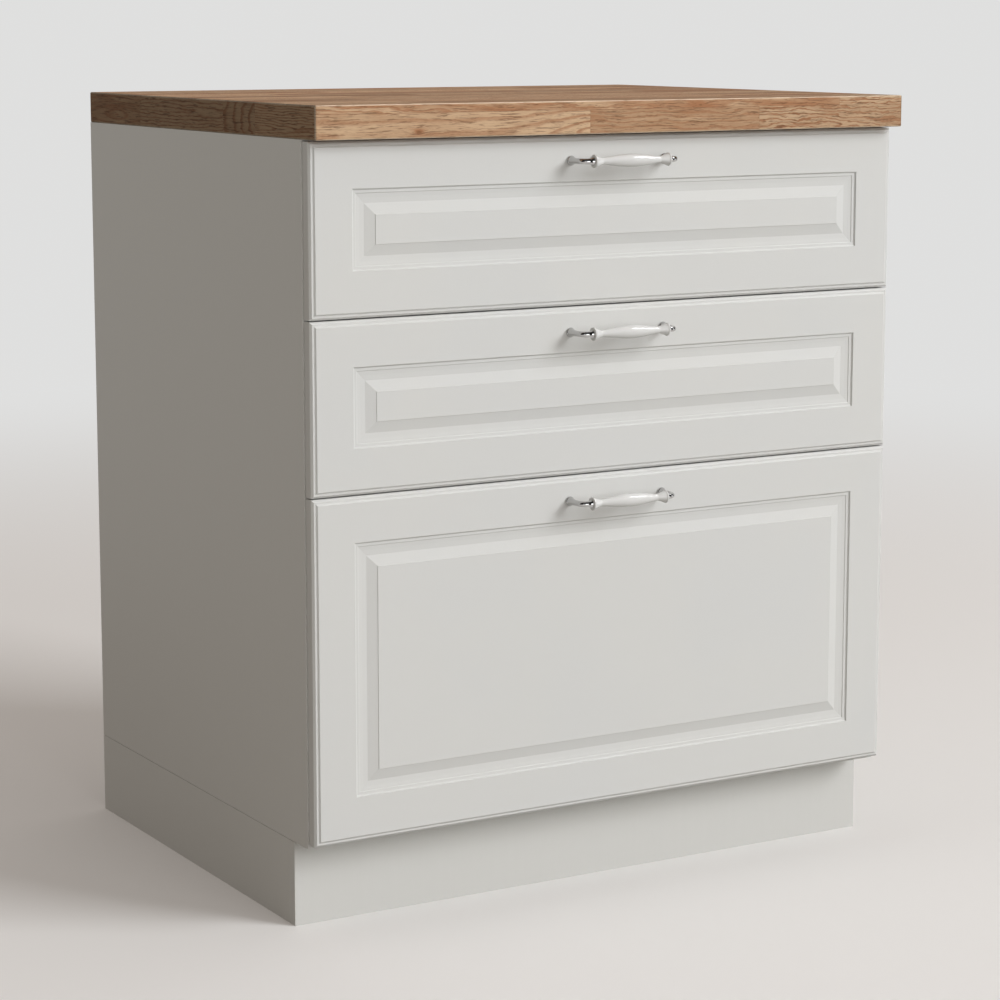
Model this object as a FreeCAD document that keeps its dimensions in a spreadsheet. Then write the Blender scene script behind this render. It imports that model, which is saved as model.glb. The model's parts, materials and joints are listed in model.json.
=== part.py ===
# Base cabinet with three drawers under a solid wood worktop.
#
# The frame: +Z is up and the drawer fronts face -Y. The origin lies on the floor,
# under the middle of the bounding box. All sizes are in millimetres.
import FreeCAD, Part
import os
import re
import Sketcher
from FreeCAD import Rotation, Vector

BACKWARD = (0, 1, 0)
FORWARD = (0, -1, 0)
UP = (0, 0, 1)
SIDES = {"left": -1, "right": 1}
DRAWERS = (1, 2, 3)  # from the top down

# Sizes that can each be changed by themselves.
DRIVING = {
    # carcass
    "cabinet_width": 800,
    "carcass_height": 800,
    "carcass_depth": 600,
    "board": 16,
    "back_board": 8,
    "rail_width": 100,
    # plinth and legs
    "plinth_height": 100,
    "plinth_board": 16,
    "plinth_setback": 35,
    "plinth_joint": 0.5,
    "leg_setback": 60,
    "leg_plate_size": 60,
    "leg_plate_thickness": 5,
    "socket_length": 40,
    "socket_wall": 5,
    "socket_radius": 17,
    "foot_radius": 25,
    "foot_disc": 8,
    "foot_taper": 2,
    "foot_shaft_radius": 15,
    "leg_clearance": 0.3,
    "clip_height": 12,
    "clip_wall": 3.5,
    "clip_plate_width": 34,
    "clip_arm_width": 7,
    "clip_mouth": 24,
    "clip_low_z": 10,
    "clip_spacing": 16,
    "leg_screw_inset": 8,
    # worktop
    "worktop_thickness": 38,
    "worktop_depth": 635,
    "worktop_easing": 2,
    # drawer fronts
    "front_thickness": 16,
    "front_side_margin": 1.5,
    "front_top_margin": 2,
    "front_bottom_margin": 5,
    "front_gap": 3,
    "small_front_height": 195,
    "bumper_gap": 1,
    "bumper_radius": 4,
    "bumper_inset": 16,
    "bumper_clearance": 0.1,
    "lip_width": 6,
    "lip_depth": 1.8,
    "lip_rounding": 2,
    "frame_width": 52.5,
    "recess_depth": 4,
    "recess_floor": 16,
    "bevel_width": 12.5,
    "bevel_rise": 3.2,
    # handles
    "post_spacing": 128,
    "handle_drop": 28.5,
    "handle_reach": 29,
    "rosette_radius": 5.75,
    "rosette_top_radius": 4.3,
    "rosette_height": 4,
    "arm_radius": 3.2,
    "arm_bend": 10.5,
    "collar_radius": 4.2,
    "collar_length": 2,
    "spigot_radius": 2,
    "spigot_length": 8,
    "grip_bore_clearance": 0.2,
    "grip_flange_radius": 7.8,
    "grip_flange_length": 2.2,
    "grip_flare_length": 8,
    "grip_neck_radius": 4,
    "grip_belly_radius": 7.6,
    "grip_rounding": 0.8,
    # drawer boxes
    "box_board": 16,
    "box_rise": 17,
    "box_bottom_thickness": 4,
    "groove_rise": 12,
    "groove_depth": 8,
    "front_groove_depth": 6,
    "groove_clearance": 0.3,
    # ball bearing runners
    "runner_height": 45,
    "runner_thickness": 12.7,
    "runner_setback": 3,
    "service_gap": 39,
    "runner_above_box": 60,
    "runner_wall": 1.2,
    "runner_outer_depth": 10.4,
    "runner_middle_start": 4.2,
    "runner_middle_depth": 6.4,
    "runner_inner_depth": 6.3,
    "ball_track": 2.3,
    "ball_clearance": 0.1,
    "ball_pitch": 40,
    # screws, cams and their bolts
    "screw_radius": 2,
    "screw_length": 15,
    "screw_head_radius": 4,
    "screw_head_height": 1.7,
    "screw_clearance": 0.1,
    "screw_end_distance": 40,
    "runner_screw_length": 11,
    "handle_screw_space": 6,
    "cam_radius": 7.4,
    "cam_height": 12,
    "cam_distance": 24,
    "cam_edge_distance": 32,
    "bolt_radius": 3.5,
    "bolt_thread_radius": 2.5,
    "bolt_thread_length": 11,
    "bolt_clearance": 0.2,
}

# Sizes and places that follow from the driving ones.
WORKED_OUT = {
    "handle_projection": "handle_reach + max(grip_belly_radius; grip_flange_radius)",
    "overall_depth": "carcass_depth + bumper_gap + front_thickness + handle_projection",
    "half_width": "cabinet_width / 2",
    "inner_half": "half_width - board",
    "back_y": "overall_depth / 2",
    "back_board_y": "back_y - back_board",
    "carcass_front_y": "back_y - carcass_depth",
    "front_back_y": "carcass_front_y - bumper_gap",
    "front_face_y": "front_back_y - front_thickness",
    "carcass_top": "plinth_height + carcass_height",
    "plinth_front_y": "carcass_front_y + plinth_setback",
    "plinth_back_y": "plinth_front_y + plinth_board",
    "plinth_board_height": "plinth_height - plinth_joint",
    # legs
    "leg_x": "half_width - plinth_board - leg_setback",
    "leg_front_y": "plinth_back_y + leg_setback",
    "leg_rear_y": "back_y - leg_setback",
    "socket_bottom": "plinth_height - leg_plate_thickness - socket_length",
    "spindle_radius": "socket_radius - socket_wall - leg_clearance",
    "spindle_top": "plinth_height - leg_plate_thickness",
    "leg_screw_offset": "leg_plate_size / 2 - leg_screw_inset",
    "clip_high_z": "clip_low_z + clip_spacing",
    "clip_bore": "foot_shaft_radius + leg_clearance",
    "clip_radius": "clip_bore + clip_wall",
    # drawer fronts, counted from the top
    "front_width": "cabinet_width - 2 * front_side_margin",
    "front_1_height": "small_front_height",
    "front_1_bottom": "carcass_top - front_top_margin - front_1_height",
    "front_2_height": "small_front_height",
    "front_2_bottom": "front_1_bottom - front_gap - front_2_height",
    "front_3_bottom": "plinth_height + front_bottom_margin",
    "front_3_height": "front_2_bottom - front_gap - front_3_bottom",
    "field_inset": "frame_width + recess_floor + bevel_width",
    # handles
    "handle_screw_length": "front_thickness + spigot_length - screw_clearance",
    "post_x": "post_spacing / 2",
    "arm_length": "handle_reach - arm_bend",
    "collar_x": "post_x - arm_bend",
    "grip_half": "collar_x - collar_length",
    "grip_bore": "spigot_radius + grip_bore_clearance",
    "flange_inner_x": "grip_half - grip_flange_length",
    "neck_x": "flange_inner_x - grip_flare_length",
    "belly_rise": "grip_belly_radius - grip_neck_radius",
    "flare_rise": "grip_flange_radius - grip_neck_radius",
    "belly_arc": "(neck_x ^ 2 + belly_rise ^ 2) / (2 * belly_rise)",
    "flare_arc": "(grip_flare_length ^ 2 + flare_rise ^ 2) / (2 * flare_rise)",
    "handle_y": "front_face_y - handle_reach",
    # drawer boxes
    "runner_front_y": "carcass_front_y + runner_setback",
    "runner_rear_y": "back_board_y - service_gap",
    "runner_length": "runner_rear_y - runner_front_y",
    "box_length": "runner_rear_y - front_back_y",
    "box_outer_half": "inner_half - runner_thickness",
    "box_inner_half": "box_outer_half - box_board",
    "box_back_y": "runner_rear_y - box_board",
    "box_drop": "handle_drop + screw_head_radius + handle_screw_space",
    "groove_height": "box_bottom_thickness + groove_clearance",
    # runner sections, measured from the runner's middle height
    "outer_half": "runner_height / 2",
    "outer_cavity": "outer_half - runner_wall",
    "middle_half": "outer_cavity - ball_track",
    "middle_cavity": "middle_half - runner_wall",
    "inner_member_half": "middle_cavity - ball_track",
    "inner_start": "runner_thickness - runner_inner_depth",
    "middle_end": "runner_middle_start + runner_middle_depth",
    "ball_radius": "ball_track / 2 - ball_clearance",
    "outer_ball_x": "(runner_middle_start + runner_outer_depth) / 2",
    "inner_ball_x": "(inner_start + middle_end) / 2",
    "outer_ball_height": "middle_half + ball_track / 2",
    "inner_ball_height": "inner_member_half + ball_track / 2",
    "runner_middle_y": "(runner_front_y + runner_rear_y) / 2",
    # holes for screws, cams and bolts
    "screw_hole": "screw_radius + screw_clearance",
    "bolt_bore": "bolt_radius + bolt_clearance",
    "bolt_thread_hole": "bolt_thread_radius + bolt_clearance",
    "bolt_thread_depth": "bolt_thread_length + bolt_clearance",
    "cam_pocket": "cam_radius + bolt_clearance",
    "cam_pocket_depth": "cam_height + bolt_clearance",
    "bolt_length": "cam_distance - cam_pocket",
}

for number in DRAWERS:
    WORKED_OUT[f"front_{number}_middle"] = f"front_{number}_bottom + front_{number}_height / 2"
    WORKED_OUT[f"handle_{number}_z"] = f"front_{number}_bottom + front_{number}_height - handle_drop"
    WORKED_OUT[f"box_{number}_bottom"] = f"front_{number}_bottom + box_rise"
    WORKED_OUT[f"box_{number}_top"] = f"front_{number}_bottom + front_{number}_height - box_drop"
    WORKED_OUT[f"panel_{number}_bottom"] = f"box_{number}_bottom + groove_rise"
    WORKED_OUT[f"panel_{number}_top"] = f"panel_{number}_bottom + box_bottom_thickness"
    WORKED_OUT[f"runner_{number}_z"] = f"box_{number}_bottom + runner_above_box"

doc = FreeCAD.newDocument("BaseCabinet")
sizes = doc.addObject("Spreadsheet::Sheet", "Sizes")
nodes = {}


def fill_sheet():
    row = 1
    for name, value in DRIVING.items():
        sizes.set(f"A{row}", name)
        sizes.set(f"B{row}", str(value))
        sizes.setAlias(f"B{row}", name)
        row += 1
    for name, rule in WORKED_OUT.items():
        sizes.set(f"A{row}", name)
        sizes.set(f"B{row}", f"={rule}")
        sizes.setAlias(f"B{row}", name)
        row += 1
    doc.recompute()


# Puts the sheet's name before every size that a rule names.
def rule(text):
    known = lambda word: word in DRIVING or word in WORKED_OUT
    prefix = lambda match: f"Sizes.{match[0]}" if known(match[0]) else match[0]
    return re.sub(r"[a-z]\w*", prefix, str(text))


def bind(item, rules):
    for name, text in rules.items():
        item.setExpression(name, rule(text))


def place(item, point):
    bind(item, {f"Placement.Base.{axis}": text for axis, text in zip("xyz", point)})


def node(label, item):
    item.Label = label
    nodes[label] = item
    return item


# A point moved along one of the six directions.
def shifted(point, direction, amount):
    return tuple(
        f"{start} + {step} * ({amount})" if step else start
        for start, step in zip(point, direction)
    )


# A flat board or block from its lowest corner.
def block(point, size):
    item = doc.addObject("Part::Box", "block")
    bind(item, dict(zip(("Length", "Width", "Height"), size)))
    place(item, point)
    return item


# A block centred on x = 0.
def centred_block(width, y, z, depth, height):
    return block((f"-({width}) / 2", y, z), (width, depth, height))


def rod(point, direction, radius, length):
    item = doc.addObject("Part::Cylinder", "rod")
    bind(item, {"Radius": radius, "Height": length})
    item.Placement.Rotation = Rotation(Vector(0, 0, 1), Vector(*direction))
    place(item, point)
    return item


def cone(point, direction, first_radius, second_radius, length):
    item = doc.addObject("Part::Cone", "cone")
    bind(item, {"Radius1": first_radius, "Radius2": second_radius, "Height": length})
    item.Placement.Rotation = Rotation(Vector(0, 0, 1), Vector(*direction))
    place(item, point)
    return item


def ball(point, radius):
    item = doc.addObject("Part::Sphere", "ball")
    bind(item, {"Radius": radius})
    place(item, point)
    return item


def joined(items):
    item = doc.addObject("Part::MultiFuse", "joined")
    item.Shapes = items
    return item


def group(items):
    item = doc.addObject("Part::Compound", "group")
    item.Links = items
    return item


def cut(base, tools):
    item = doc.addObject("Part::Cut", "cut")
    item.Base = base
    item.Tool = group(tools)
    return item


# A pan head screw. The point is the face that the head bears on, and the direction
# is the way the screw is driven.
def screw(point, direction, length):
    back = tuple(-step for step in direction)
    head = rod(point, back, "screw_head_radius", "screw_head_height")
    shank = rod(point, direction, "screw_radius", length)
    return joined([head, shank])


# A cam and its bolt, which hold one board's end against another board's face. The
# point is on the joint, the first direction runs into the board with the cam, and
# the second is the way the cam is pushed in. Gives the two pieces, the cuts in the
# board with the cam and the cuts in the other board.
def cam_joint(point, inward, push, thickness):
    outward = tuple(-step for step in inward)
    surface = shifted(point, push, f"-({thickness}) / 2")
    cam_top = shifted(surface, inward, "cam_distance")
    bolt = joined([
        rod(point, inward, "bolt_radius", "bolt_length"),
        rod(point, outward, "bolt_thread_radius", "bolt_thread_length"),
    ])
    pieces = [bolt, rod(cam_top, push, "cam_radius", "cam_height")]
    board_cuts = [joined([
        rod(point, inward, "bolt_bore", "cam_distance"),
        rod(cam_top, push, "cam_pocket", "cam_pocket_depth"),
    ])]
    mate_cuts = [rod(point, outward, "bolt_thread_hole", "bolt_thread_depth")]
    return pieces, board_cuts, mate_cuts


# A sketch on one of the body's own origin planes, moved along the plane's normal.
def sketch_on(body, role, name, offset="0"):
    plane = next(item for item in body.Origin.OriginFeatures if item.Role == role)
    sketch = body.newObject("Sketcher::SketchObject", name)
    sketch.AttachmentSupport = (plane, [""])
    sketch.MapMode = "FlatFace"
    bind(sketch, {"AttachmentOffset.Base.z": offset})
    return sketch


def constrain(sketch, text, *words):
    index = sketch.addConstraint(Sketcher.Constraint(*words))
    if text is not None:
        bind(sketch, {f"Constraints[{index}]": text})


# A rectangle whose middle is the sketch's origin.
def add_rectangle(sketch, width, height, half_x, half_y):
    signs = ((-1, -1), (1, -1), (1, 1), (-1, 1))
    corners = [Vector(across * half_x, up * half_y) for across, up in signs]
    first = sketch.GeometryCount
    for start, end in zip(corners, corners[1:] + corners[:1]):
        sketch.addGeometry(Part.LineSegment(start, end))
    for side in range(4):
        constrain(sketch, None, "Coincident", first + side, 2, first + (side + 1) % 4, 1)
    for side in (0, 2):
        constrain(sketch, None, "Horizontal", first + side)
        constrain(sketch, None, "Vertical", first + side + 1)
    constrain(sketch, None, "Symmetric", first, 1, first + 2, 1, -1, 1)
    constrain(sketch, width, "DistanceX", first, 1, first, 2, 2 * half_x)
    constrain(sketch, height, "DistanceY", first + 1, 1, first + 1, 2, 2 * half_y)


def edge_names(shape, wanted):
    return [f"Edge{index}" for index, edge in enumerate(shape.Edges, 1) if wanted(edge)]


def fillet(body, wanted, radius):
    doc.recompute()
    base = body.Tip
    feature = body.newObject("PartDesign::Fillet", "rounding")
    feature.Base = (base, edge_names(base.Shape, wanted))
    bind(feature, {"Radius": radius})
    return feature


def size(name):
    return float(sizes.get(name))


def carcass():
    inner_width = "2 * inner_half"
    depth = "carcass_depth - back_board"
    rail_z = "carcass_top - board"
    rear_rail_y = "back_board_y - rail_width"
    panels = {
        "bottom_panel": centred_block(inner_width, "carcass_front_y", "plinth_height", depth, "board"),
        "top_rail_front": centred_block(inner_width, "carcass_front_y", rail_z, "rail_width", "board"),
        "top_rail_rear": centred_block(inner_width, rear_rail_y, rail_z, "rail_width", "board"),
    }
    back = centred_block(inner_width, "back_board_y", "plinth_height", "back_board", "carcass_height")
    node("back_panel", back)

    # Each panel's cams: how far back they lie, the panel's middle height and the
    # side that they are pushed in from.
    cam_rows = {
        "bottom_panel": (("carcass_front_y + cam_edge_distance", "back_board_y - cam_edge_distance"),
                         "plinth_height + board / 2", UP),
        "top_rail_front": (("carcass_front_y + cam_edge_distance",), f"{rail_z} + board / 2", UP),
        "top_rail_rear": (("back_board_y - cam_edge_distance",), f"{rail_z} + board / 2", UP),
    }
    fixings = []
    panel_cuts = {name: [] for name in panels}
    side_cuts = {name: [] for name in SIDES}
    for name, (places, height, push) in cam_rows.items():
        for side, sign in SIDES.items():
            for y in places:
                point = (f"{sign} * inner_half", y, height)
                pieces, board_cuts, mate_cuts = cam_joint(point, (-sign, 0, 0), push, "board")
                fixings += pieces
                panel_cuts[name] += board_cuts
                side_cuts[side] += mate_cuts

    # The rails carry the worktop's screws.
    worktop_cuts = []
    for name, y in (("top_rail_front", "carcass_front_y + rail_width / 2"),
                    ("top_rail_rear", "back_board_y - rail_width / 2")):
        for sign in SIDES.values():
            point = (f"{sign} * inner_half / 2", y, rail_z)
            length = "board + screw_length"
            fixings.append(screw(point, UP, length))
            panel_cuts[name].append(rod(point, UP, "screw_hole", "board"))
            worktop_cuts.append(rod((point[0], point[1], "carcass_top"), UP, "screw_hole", "screw_length"))
    return panels, panel_cuts, side_cuts, worktop_cuts, fixings


def worktop(cuts):
    body = doc.addObject("PartDesign::Body", "WorktopBody")
    outline = sketch_on(body, "XY_Plane", "WorktopOutline")
    add_rectangle(outline, "cabinet_width", "worktop_depth", size("half_width"), size("worktop_depth") / 2)
    pad = body.newObject("PartDesign::Pad", "WorktopPad")
    pad.Profile = outline
    bind(pad, {"Length": "worktop_thickness"})
    fillet(body, lambda edge: edge.BoundBox.ZMax > size("worktop_thickness") / 2, "worktop_easing")
    place(body, ("0", "back_y - worktop_depth / 2", "carcass_top"))
    node("worktop", cut(body, cuts))


def plinth():
    height = "plinth_board_height"
    front = centred_block("cabinet_width", "plinth_front_y", "0", "plinth_board", height)
    node("plinth_front", front)
    for side, sign in SIDES.items():
        x = "-half_width" if sign < 0 else "half_width - plinth_board"
        board = block((x, "plinth_back_y", "0"), ("plinth_board", "back_y - plinth_back_y", height))
        node(f"plinth_{side}", board)


# A foot on a screw spindle in a socket under the bottom panel.
def legs():
    sockets = []
    screws = []
    panel_cuts = []
    for end in ("front", "rear"):
        for side, sign in SIDES.items():
            x, y = f"{sign} * leg_x", f"leg_{end}_y"
            corner = (f"{x} - leg_plate_size / 2", f"{y} - leg_plate_size / 2", "spindle_top")
            plate = block(corner, ("leg_plate_size", "leg_plate_size", "leg_plate_thickness"))
            tube = rod((x, y, "socket_bottom"), UP, "socket_radius", "socket_length")
            bore = rod((x, y, "socket_bottom"), UP, "socket_radius - socket_wall", "socket_length")
            holes = []
            for across in (-1, 1):
                for along in (-1, 1):
                    hole_x = f"{x} + {across} * leg_screw_offset"
                    hole_y = f"{y} + {along} * leg_screw_offset"
                    point = (hole_x, hole_y, "spindle_top")
                    screws.append(screw(point, UP, "screw_length"))
                    holes.append(rod(point, UP, "screw_hole", "leg_plate_thickness"))
                    panel_point = (hole_x, hole_y, "plinth_height")
                    depth = "screw_length - leg_plate_thickness"
                    panel_cuts.append(rod(panel_point, UP, "screw_hole", depth))
            sockets.append(cut(joined([plate, tube]), [bore] + holes))

            shoulder = "socket_bottom - leg_clearance"
            foot = joined([
                cone((x, y, "0"), UP, "foot_radius", "foot_radius - foot_taper", "foot_disc"),
                rod((x, y, "foot_disc"), UP, "foot_shaft_radius", f"{shoulder} - foot_disc"),
                rod((x, y, shoulder), UP, "spindle_radius", f"spindle_top - leg_clearance - ({shoulder})"),
            ])
            node(f"leg_{end}_{side}_foot", foot)
    node("leg_sockets", group(sockets))
    return screws, panel_cuts


# A block that runs from a point along X or Y for a length, centred across it.
def arm(point, direction, length, width, height):
    x, y, z = point
    run, half = direction[0] + direction[1], f"({width}) / 2"
    along_x = direction[0] != 0
    start = x if along_x else y
    low = start if run > 0 else f"{start} - ({length})"
    if along_x:
        return block((low, f"{y} - {half}", z), (length, width, height))
    return block((f"{x} - {half}", low, z), (width, length, height))


# A spring clip on a leg's shaft with a plate on the back of a plinth board. The
# direction runs from the leg to the board.
def clip(point, direction):
    back = tuple(-step for step in direction)
    plate = shifted(point, direction, "leg_setback - clip_wall")
    solid = joined([
        rod(point, UP, "clip_radius", "clip_height"),
        arm(point, direction, "leg_setback", "clip_arm_width", "clip_height"),
        arm(plate, direction, "clip_wall", "clip_plate_width", "clip_height"),
    ])
    opening = joined([
        rod(point, UP, "clip_bore", "clip_height"),
        arm(point, back, "clip_radius", "clip_mouth", "clip_height"),
    ])
    return cut(solid, [opening])


def plinth_clips():
    clips = []
    for sign in SIDES.values():
        x = f"{sign} * leg_x"
        clips.append(clip((x, "leg_front_y", "clip_high_z"), FORWARD))
        for end in ("front", "rear"):
            clips.append(clip((x, f"leg_{end}_y", "clip_low_z"), (sign, 0, 0)))
    node("plinth_clips", group(clips))


# Soft stops on the carcass's front edges, four to a drawer front.
def bumpers():
    stops = []
    for number in DRAWERS:
        low = f"front_{number}_bottom + bumper_inset"
        high = f"front_{number}_bottom + front_{number}_height - bumper_inset"
        for sign in SIDES.values():
            for z in (low, high):
                point = (f"{sign} * (half_width - board / 2)", "carcass_front_y", z)
                stops.append(rod(point, FORWARD, "bumper_radius", "bumper_gap - bumper_clearance"))
    node("front_bumpers", group(stops))


# The raised-and-fielded face of a drawer front. Its body's origin is the middle of
# the front's back.
def front_board(number):
    width, height = "front_width", f"front_{number}_height"
    half_x, half_y = size(width) / 2, size(height) / 2
    body = doc.addObject("PartDesign::Body", f"FrontBody{number}")

    def outline(name, inset, offset):
        sketch = sketch_on(body, "XZ_Plane", f"{name}{number}", offset)
        gap = 0 if inset is None else size(inset)
        less = "" if inset is None else f" - 2 * {inset}"
        add_rectangle(sketch, width + less, height + less, half_x - gap, half_y - gap)
        return sketch

    def pocket(sketch, depth):
        before = body.Shape.Volume
        feature = body.newObject("PartDesign::Pocket", f"{sketch.Name}Cut")
        feature.Profile = sketch
        bind(feature, {"Length": depth})
        doc.recompute()
        if body.Shape.Volume >= before:
            raise RuntimeError(f"{feature.Name} cuts nothing")

    pad = body.newObject("PartDesign::Pad", f"Board{number}")
    pad.Profile = outline("BoardOutline", None, "0")
    bind(pad, {"Length": "front_thickness"})
    doc.recompute()
    lip = outline("Lip", None, "front_thickness")
    add_rectangle(lip, f"{width} - 2 * lip_width", f"{height} - 2 * lip_width",
                  half_x - size("lip_width"), half_y - size("lip_width"))
    pocket(lip, "lip_depth")
    lip_plane = -(size("front_thickness") - size("lip_depth"))
    edge_test = lambda edge: (
        abs(edge.BoundBox.YMin - lip_plane) < 0.01 and abs(edge.BoundBox.YMax - lip_plane) < 0.01
        and max(abs(edge.CenterOfMass.x) - half_x, abs(edge.CenterOfMass.z) - half_y) > -0.01
    )
    fillet(body, edge_test, "lip_rounding")
    doc.recompute()
    pocket(outline("Recess", "frame_width", "front_thickness"), "recess_depth")

    # The bevel narrows from the recess's floor to the raised field.
    wedge = body.newObject("PartDesign::AdditiveWedge", f"Bevel{number}")
    floor, step = "-(front_thickness - recess_depth)", "bevel_rise"
    inner_x, inner_z = f"{width} / 2 - field_inset", f"{height} / 2 - field_inset"
    bind(wedge, {
        "Ymin": f"{floor} - {step}", "Ymax": floor,
        "Xmin": f"-({inner_x})", "Xmax": inner_x,
        "Zmin": f"-({inner_z})", "Zmax": inner_z,
        "X2min": f"-({inner_x} + bevel_width)", "X2max": f"{inner_x} + bevel_width",
        "Z2min": f"-({inner_z} + bevel_width)", "Z2max": f"{inner_z} + bevel_width",
    })
    field = body.newObject("PartDesign::Pad", f"Field{number}")
    field.Profile = outline("FieldOutline", "field_inset", "front_thickness - recess_depth")
    bind(field, {"Length": "recess_depth"})
    place(body, ("0", "front_back_y", f"front_{number}_middle"))
    return body


# Two chrome posts, each a rosette, an arm that bends a quarter turn and a collar
# with a spigot in the grip's bore.
def handle_posts(number):
    z = f"handle_{number}_z"
    posts = []
    for sign in SIDES.values():
        foot = (f"{sign} * post_x", "front_face_y", z)
        inward = (-sign, 0, 0)
        elbow = (f"{sign} * collar_x", "front_face_y - arm_length", z)
        bend = doc.addObject("Part::Torus", "bend")
        bind(bend, {"Radius1": "arm_bend", "Radius2": "arm_radius"})
        bend.Angle3 = 90
        bend.Placement.Rotation = Rotation(Vector(0, 0, 1), -90 if sign > 0 else 180)
        place(bend, elbow)
        end = (f"{sign} * collar_x", "handle_y", z)
        solid = joined([
            cone(foot, FORWARD, "rosette_radius", "rosette_top_radius", "rosette_height"),
            rod(foot, FORWARD, "arm_radius", "arm_length"),
            bend,
            rod(end, inward, "collar_radius", "collar_length"),
            rod(end, inward, "spigot_radius", "collar_length + spigot_length"),
        ])
        posts.append(cut(solid, [rod(foot, FORWARD, "screw_hole", "spigot_length")]))
    node(f"drawer_{number}_handle_posts", group(posts))


# The turned ceramic grip: a flange, a flare and a neck at each end and a belly
# between them, with a bore from end to end.
def handle_grip(number):
    body = doc.addObject("PartDesign::Body", f"GripBody{number}")
    sketch = sketch_on(body, "XY_Plane", f"GripProfile{number}")
    half, bore = size("grip_half"), size("grip_bore")
    flange_x, flange_radius = size("flange_inner_x"), size("grip_flange_radius")
    neck_x, neck_radius = size("neck_x"), size("grip_neck_radius")
    belly_radius = size("grip_belly_radius")
    arc_x = neck_x + 0.7 * (flange_x - neck_x)
    arc_radius = neck_radius + 0.3 * (flange_radius - neck_radius)
    right = [Vector(half, bore), Vector(half, flange_radius), Vector(flange_x, flange_radius),
             Vector(neck_x, neck_radius)]
    left = [Vector(-point.x, point.y) for point in right]
    shapes = [
        Part.LineSegment(right[0], right[1]),
        Part.LineSegment(right[1], right[2]),
        Part.Arc(right[2], Vector(arc_x, arc_radius), right[3]),
        Part.Arc(right[3], Vector(0, belly_radius), left[3]),
        Part.Arc(left[3], Vector(-arc_x, arc_radius), left[2]),
        Part.LineSegment(left[2], left[1]),
        Part.LineSegment(left[1], left[0]),
        Part.LineSegment(left[0], right[0]),
    ]
    for shape in shapes:
        sketch.addGeometry(shape)

    # Which end of each edge comes first depends on the way its arc runs.
    def end_at(edge, point):
        starts = sketch.getPoint(edge, 1).distanceToPoint(point) < 0.001
        return (edge, 1) if starts else (edge, 2)

    corners = right + left[::-1]
    places = {}
    for index, point in enumerate(corners):
        here = [end_at(edge, point) for edge in range(len(shapes))
                if min(sketch.getPoint(edge, end).distanceToPoint(point) for end in (1, 2)) < 0.001]
        constrain(sketch, None, "Coincident", *here[0], *here[1])
        places[index] = here[0]
    for index in range(4):
        constrain(sketch, None, "Symmetric", *places[index], *places[7 - index], -2)
    rules = [("grip_half", "grip_bore"), ("grip_half", "grip_flange_radius"),
             ("flange_inner_x", "grip_flange_radius"), ("neck_x", "grip_neck_radius")]
    for index, (along, radius) in enumerate(rules):
        constrain(sketch, along, "DistanceX", -1, 1, *places[index], corners[index].x)
        constrain(sketch, radius, "DistanceY", -1, 1, *places[index], corners[index].y)
    constrain(sketch, "flare_arc", "Radius", 2, size("flare_arc"))
    constrain(sketch, "belly_arc", "Radius", 3, size("belly_arc"))
    constrain(sketch, "flare_arc", "Radius", 4, size("flare_arc"))

    turned = body.newObject("PartDesign::Revolution", f"GripTurned{number}")
    turned.Profile = sketch
    turned.ReferenceAxis = (sketch, ["H_Axis"])
    turned.Angle = 360
    rim = lambda edge: edge.BoundBox.YMax > flange_radius - 0.01 and abs(edge.BoundBox.XLength) < 0.01
    fillet(body, rim, "grip_rounding")
    place(body, ("0", "handle_y", f"handle_{number}_z"))
    node(f"drawer_{number}_handle_grip", body)


# A steel channel along the runner, open to one side. It is measured from the side
# panel's inner face, and from the runner's middle height.
def channel(number, sign, start, depth, half, opens_inward):
    x = f"-inner_half + {start}" if sign < 0 else f"inner_half - {start} - {depth}"
    bottom = f"runner_{number}_z - {half}"
    steel = block((x, "runner_front_y", bottom), (depth, "runner_length", f"2 * {half}"))
    shift = sign * (-1 if opens_inward else 1)
    hollow = block(
        (f"{x} + {shift} * runner_wall", "runner_front_y", f"{bottom} + runner_wall"),
        (depth, "runner_length", f"2 * ({half} - runner_wall)"),
    )
    return steel, hollow


# The runner's screws lie near both its ends and in its middle.
def runner_screw_places():
    return ("runner_front_y + screw_end_distance", "runner_middle_y", "runner_rear_y - screw_end_distance")


def outer_runner(number, side, sign):
    steel, hollow = channel(number, sign, "0", "runner_outer_depth", "outer_half", True)
    screws, holes, panel_holes = [], [hollow], []
    for y in runner_screw_places():
        outward = (sign, 0, 0)
        point = (f"{sign} * (inner_half - runner_wall)", y, f"runner_{number}_z")
        screws.append(screw(point, outward, "runner_screw_length"))
        holes.append(rod(point, outward, "screw_hole", "runner_wall"))
        panel_point = (f"{sign} * inner_half", y, f"runner_{number}_z")
        panel_holes.append(rod(panel_point, outward, "screw_hole", "runner_screw_length - runner_wall"))
    node(f"runner_{number}_{side}_outer", cut(steel, holes))
    return screws, panel_holes


# The middle member rides on balls, three to a track. The outer tracks' balls lie in
# its rear half and the inner tracks' in its front half, so they stay between the
# members over the whole travel.
def middle_runner(number, side, sign):
    steel, hollow = channel(number, sign, "runner_middle_start", "runner_middle_depth", "middle_half", True)
    balls = []
    for x, height, start, way in (
        ("outer_ball_x", "outer_ball_height", "runner_rear_y", -1),
        ("inner_ball_x", "inner_ball_height", "runner_front_y", 1),
    ):
        for vertical in (-1, 1):
            for count in (1, 2, 3):
                point = (f"{sign} * (inner_half - {x})", f"{start} + {way * count} * ball_pitch",
                         f"runner_{number}_z + {vertical} * {height}")
                balls.append(ball(point, "ball_radius"))
    node(f"runner_{number}_{side}_middle", group([cut(steel, [hollow])] + balls))


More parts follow.
